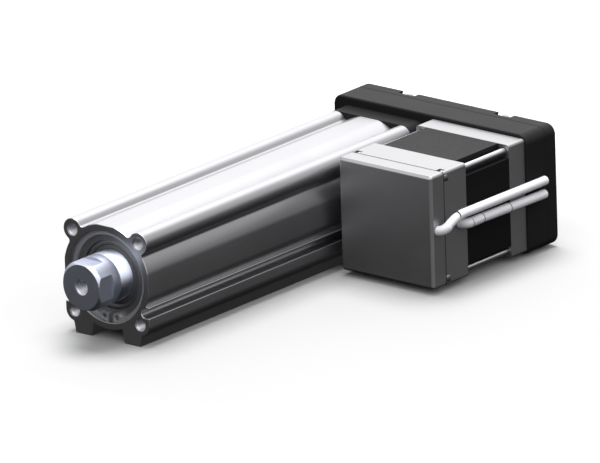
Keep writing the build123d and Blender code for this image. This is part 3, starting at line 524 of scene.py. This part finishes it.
lead_diameter = 0.0045
encoder_route = [
    (0.0906, 0.14398, 0.00255),
    (0.0906, 0.15004, 0.00605),
    (0.09065, 0.162, 0.00595),
    (0.09075, 0.181, 0.0059),
    (0.09065, 0.1996, 0.0057),
    (0.09055, 0.2178, 0.0056),
]
motor_route = [
    (0.0906, 0.161, 0.0001),
    (0.0906, 0.1695, 0.0001),
    (0.0907, 0.185, -0.0002),
    (0.0907, 0.201, -0.0006),
    (0.09055, 0.217, -0.0009),
]
for name, node, route, length in (
    ("encoder_lead", "encoder_cable", encoder_route, 0.0745),
    ("motor_lead", "motor_cable", motor_route, 0.056),
):
    line = bpy.data.curves.new(name, "CURVE")
    line.dimensions = "3D"
    line.bevel_depth = lead_diameter / 2
    line.bevel_resolution = 6
    line.use_fill_caps = True
    spline = line.splines.new("NURBS")
    spline.points.add(len(route) - 1)
    for point, corner in zip(spline.points, route):
        point.co = (*corner, 1)
    spline.order_u = 3
    spline.use_endpoint_u = True
    spline.resolution_u = 16
    lead = bpy.data.objects.new(name, line)
    lead.data.materials.append(vinyl)
    scene.collection.objects.link(lead)
    # The photograph's faces show no glow of the leads beside them
    lead.visible_glossy = False
    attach(lead, "frame")
    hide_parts(node)


# Grommets, boot and sleeve on the leads: a thin black rubber grommet seals each elbow's mouth. The motor's
# lead then has a moulded boot and a heat-shrink sleeve, each ending in a grommet.
grommet, tree, shader, place = new_material("black_grommet_rubber", "#161616")
# Moulded soft rubber: dull, with a slight sheen on its rounded edge and a grain of 0.3 mm
skin = add_node(tree, "ShaderNodeTexNoise", {"Scale": 3 / mm, "Detail": 2}, {"Vector": place}).outputs["Fac"]
tone = add_node(tree, "ShaderNodeMapRange", {"To Min": 0.5, "To Max": 0.65}, {"Value": skin})
tree.links.new(tone.outputs["Result"], shader.inputs["Roughness"])
sunk = 0.0003
# Each has the middles of its two ends, on its lead's route, and how far it stands proud of the jacket
for name, start, end, proud in (
    ("encoder_elbow_grommet", (0.0906, 0.14365, 0.00236), (0.0906, 0.14405, 0.00259), 0.00014),
    ("encoder_bend_grommet", (0.0906, 0.1509, 0.00601), (0.0906, 0.1513, 0.00601), 0.00012),
    ("motor_elbow_grommet", (0.0906, 0.1606, 0.0001), (0.0906, 0.161, 0.0001), 0.0002),
    ("motor_lead_boot", (0.0906, 0.161, 0.0001), (0.0906, 0.1689, 0.0001), 0.00016),
    ("motor_boot_grommet", (0.0906, 0.1689, 0.0001), (0.0906, 0.1693, 0.0001), 0.0002),
    ("motor_lead_sleeve", (0.0906, 0.1693, 0.0001), (0.09068, 0.1893, -0.00029), 0.00012),
    ("motor_sleeve_grommet", (0.09068, 0.1893, -0.00029), (0.09068, 0.1897, -0.0003), 0.00018),
):
    start = Vector(start)
    run = Vector(end) - start
    outer = lead_diameter / 2 + proud
    inner = lead_diameter / 2 - sunk
    edge = min(proud, run.length / 4)
    shape = spun([
        (inner, 0), (outer - edge, 0), (outer, edge), (outer, run.length - edge), (outer - edge, run.length),
        (inner, run.length),
    ], 40)
    turn = run.to_track_quat("Y", "Z").to_matrix().to_4x4()
    bmesh.ops.transform(shape, verts=shape.verts, matrix=Matrix.Translation(start) @ turn)
    if name.endswith("grommet"):
        add_piece(name, smoothed(shape), grommet, "frame")
    else:
        add_piece(name, smoothed(shape), moulded, "frame")


# Camera: a very long lens, so that the actuator's edges stay parallel, above and to the right of the rod's
# end. Its sideways and upward directions are those of the fitted photograph, with its slight roll.
camera_data = bpy.data.cameras.new("photo_camera")
camera_data.lens = 1300
camera_data.sensor_width = 36
camera_data.clip_start = 0.5
camera_data.clip_end = 40
aim = Vector((0.0343, 0.1022, 0.0011))
distance = 10.244
right = Vector((0.774377, 0.632061, -0.02898))
up = Vector((-0.175962, 0.259125, 0.94968))
back = right.cross(up).normalized()
directions = Matrix((right, up, back)).transposed().to_4x4()
camera = bpy.data.objects.new("photo_camera", camera_data)
camera.matrix_world = Matrix.Translation(aim + distance * back) @ directions
scene.collection.objects.link(camera)
scene.camera = camera


# Studio floor: a sheet of matt white paper just under the feet, with painted shade in its colour round the
# actuator.
# It is kept out of reflections and bounced light, as the photograph's faces show none of it.
floor_level = cad_low.z - 0.00004
paper, tree, shader, place = new_material("white_paper_painted_shade", "#FFFFFF")
# Painted shade: the paper's colour is greyer under and round the actuator, so that its soft shadow shows on
# it, and paler out where the sheet ends, which paints in light that the softbox doesn't give there
painted_shade_distance = add_node(tree, "ShaderNodeVectorMath", {"operation": "DISTANCE"})
tree.links.new(place, painted_shade_distance.inputs[0])
painted_shade_distance.inputs[1].default_value = (0.03, 0.1, -0.031)
tone = add_node(
    tree, "ShaderNodeMapRange", {"From Min": 0.16, "From Max": 0.45, "To Min": 0.31, "To Max": 0.6},
    {"Value": painted_shade_distance.outputs["Value"]},
)
tree.links.new(tone.outputs["Result"], shader.inputs["Base Color"])
shader.inputs["Roughness"].default_value = 0.9
ground = bmesh.new()
bmesh.ops.create_grid(ground, x_segments=1, y_segments=1, size=6)
bmesh.ops.translate(ground, verts=ground.verts, vec=(0, 0, floor_level))
mesh = bpy.data.meshes.new("floor")
ground.to_mesh(mesh)
ground.free()
mesh.materials.append(paper)
floor = bpy.data.objects.new("floor", mesh)
scene.collection.objects.link(floor)
floor.visible_glossy = False
floor.visible_diffuse = False
floor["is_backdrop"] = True


# Studio light: one broad softbox high above and a little behind the actuator.
# Its 2 m disc gives the soft shadow on the floor.
light_data = bpy.data.lights.new("overhead_softbox", "AREA")
light_data.shape = "DISK"
light_data.size = 2.0
light_data.energy = 184
light = bpy.data.objects.new("overhead_softbox", light_data)
stand = Vector((-0.234, 0.6, 3.0))
light.matrix_world = Matrix.Translation(stand) @ (stand - aim).to_track_quat("Z", "Y").to_matrix().to_4x4()
scene.collection.objects.link(light)


# Studio surroundings: a white backdrop for the camera, while the metal reflects a grey sky that is bright
# above and dark below, with a few soft panels that give each face of the actuator its tone.
world = bpy.data.worlds.new("studio_sky")
world.use_nodes = True
scene.world = world
tree = world.node_tree
way = add_node(tree, "ShaderNodeTexCoord").outputs["Generated"]
level = add_node(tree, "ShaderNodeSeparateXYZ", {}, {"Vector": way}).outputs["Z"]
height = add_node(tree, "ShaderNodeMapRange", {"From Min": -1, "From Max": 1}, {"Value": level})
sky = add_node(tree, "ShaderNodeValToRGB", {}, {"Fac": height.outputs["Result"]})
ramp = sky.color_ramp
ramp.elements[0].position = 0.26
ramp.elements[0].color = (0.015, 0.015, 0.015, 1)
ramp.elements[1].position = 0.95
ramp.elements[1].color = (0.85, 0.85, 0.85, 1)
for position, grey in (
    (0.34, 0.06), (0.44, 0.07), (0.52, 0.13), (0.56, 0.37),
    (0.6, 0.55), (0.64, 0.7), (0.68, 0.8), (0.8, 0.85),
):
    ramp.elements.new(position).color = (grey, grey, grey, 1)
total = sky.outputs["Color"]
# Each panel has its direction, the cosines from it at which its glow starts and is full, and its brightness
for direction, start, full, strength in (
    ((-0.52, 0.78, 0.348), 0.6, 0.93, 1.17),
    ((0.15, -0.62, 0.77), 0.84, 0.96, 1.6),
    ((0.88, -0.2, 0.43), 0.72, 0.95, 1.2),
    ((0.608, 0.73, -0.312), 0.85, 0.97, 0.025),
):
    toward = add_node(tree, "ShaderNodeVectorMath", {"operation": "DOT_PRODUCT"})
    tree.links.new(way, toward.inputs[0])
    toward.inputs[1].default_value = direction
    glow = add_node(
        tree, "ShaderNodeMapRange",
        {"interpolation_type": "SMOOTHSTEP", "From Min": start, "From Max": full, "To Max": strength},
        {"Value": toward.outputs["Value"]},
    )
    brighter = add_node(tree, "ShaderNodeVectorMath", {"operation": "ADD"})
    tree.links.new(total, brighter.inputs[0])
    tree.links.new(glow.outputs["Result"], brighter.inputs[1])
    total = brighter.outputs["Vector"]
tree.links.new(total, tree.nodes["Background"].inputs["Color"])
backdrop = add_node(tree, "ShaderNodeBackground", {"Color": (1, 1, 1, 1)})
seen = add_node(tree, "ShaderNodeLightPath").outputs["Is Camera Ray"]
mixed = add_node(tree, "ShaderNodeMixShader", {}, {"Fac": seen})
tree.links.new(tree.nodes["Background"].outputs["Background"], mixed.inputs[1])
tree.links.new(backdrop.outputs["Background"], mixed.inputs[2])
tree.links.new(mixed.outputs["Shader"], tree.nodes["World Output"].inputs["Surface"])
scene.view_settings.view_transform = "Standard"

low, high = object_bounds()
